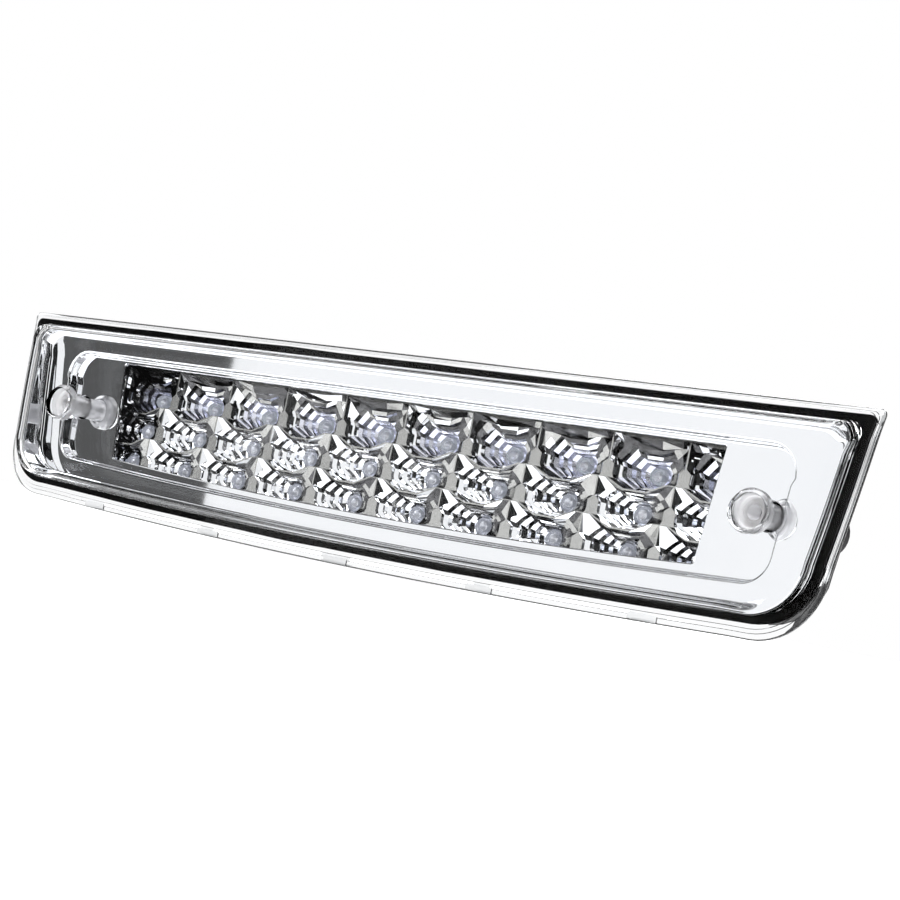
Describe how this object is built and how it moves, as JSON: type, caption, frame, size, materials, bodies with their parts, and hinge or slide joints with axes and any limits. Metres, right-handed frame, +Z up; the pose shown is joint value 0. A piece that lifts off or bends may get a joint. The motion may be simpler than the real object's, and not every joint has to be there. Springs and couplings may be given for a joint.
{
  "type": "third brake light",
  "caption": "Wide clear-lens high-mount brake lamp with tapered ends, chrome bezel, faceted reflector, lamp rows on one board, black sealed tub, rear plug socket and two screw bosses.",
  "frame": {"origin": "back face of the rear foam seal, at the middle of its top strip, where the lamp rests on the body panel", "axes": "+X across the lamp, +Y into the vehicle body (light leaves along -Y), +Z up"},
  "size_m": [0.35, 0.0586, 0.0686],
  "materials": {
    "clear_lens": "polished clear polycarbonate",
    "sealant": "black bonding sealant",
    "chrome": "vacuum-metallised mirror",
    "reflector": "vacuum-metallised facets",
    "lamp_epoxy": "water-clear epoxy, faintly lavender",
    "board": "green solder mask",
    "steel": "zinc plated",
    "dark_parts": "black moulded",
    "lead_red": "red insulation",
    "lead_black": "black insulation",
    "housing": "fine moulded grain",
    "foam": "closed-cell foam",
    "rubber": "moulded rubber",
    "brass": "tinned brass"
  },
  "bodies": {
    "root": {"lens": "clear_lens", "screw_boss_left": "clear_lens", "screw_boss_right": "clear_lens", "sealant_bead": "sealant", "bezel": "chrome", "reflector_array": "reflector", "lamp_1_1": "lamp_epoxy", "lamp_1_2": "lamp_epoxy", "lamp_1_3": "lamp_epoxy", "lamp_1_4": "lamp_epoxy", "lamp_1_5": "lamp_epoxy", "lamp_1_6": "lamp_epoxy", "lamp_1_7": "lamp_epoxy", "lamp_1_8": "lamp_epoxy", "lamp_1_9": "lamp_epoxy", "lamp_1_10": "lamp_epoxy", "lamp_2_1": "lamp_epoxy", "lamp_2_2": "lamp_epoxy", "lamp_2_3": "lamp_epoxy", "lamp_2_4": "lamp_epoxy", "lamp_2_5": "lamp_epoxy", "lamp_2_6": "lamp_epoxy", "lamp_2_7": "lamp_epoxy", "lamp_2_8": "lamp_epoxy", "lamp_2_9": "lamp_epoxy", "lamp_2_10": "lamp_epoxy", "lamp_3_1": "lamp_epoxy", "lamp_3_2": "lamp_epoxy", "lamp_3_3": "lamp_epoxy", "lamp_3_4": "lamp_epoxy", "lamp_3_5": "lamp_epoxy", "lamp_3_6": "lamp_epoxy", "lamp_3_7": "lamp_epoxy", "lamp_3_8": "lamp_epoxy", "lamp_3_9": "lamp_epoxy", "lamp_3_10": "lamp_epoxy", "circuit_board": "board", "board_screw_1": "steel", "board_screw_2": "steel", "board_screw_3": "steel", "board_screw_4": "steel", "resistor_1": "dark_parts", "resistor_2": "dark_parts", "resistor_3": "dark_parts", "resistor_4": "dark_parts", "diode": "dark_parts", "capacitor": "steel", "lead_positive": "lead_red", "lead_negative": "lead_black", "housing": "housing", "rear_seal": "foam", "boss_seal_left": "rubber", "boss_seal_right": "rubber", "connector_shell": "dark_parts", "terminal_positive": "brass", "terminal_negative": "brass", "vent_cap": "rubber"}
  },
  "joints": []
}
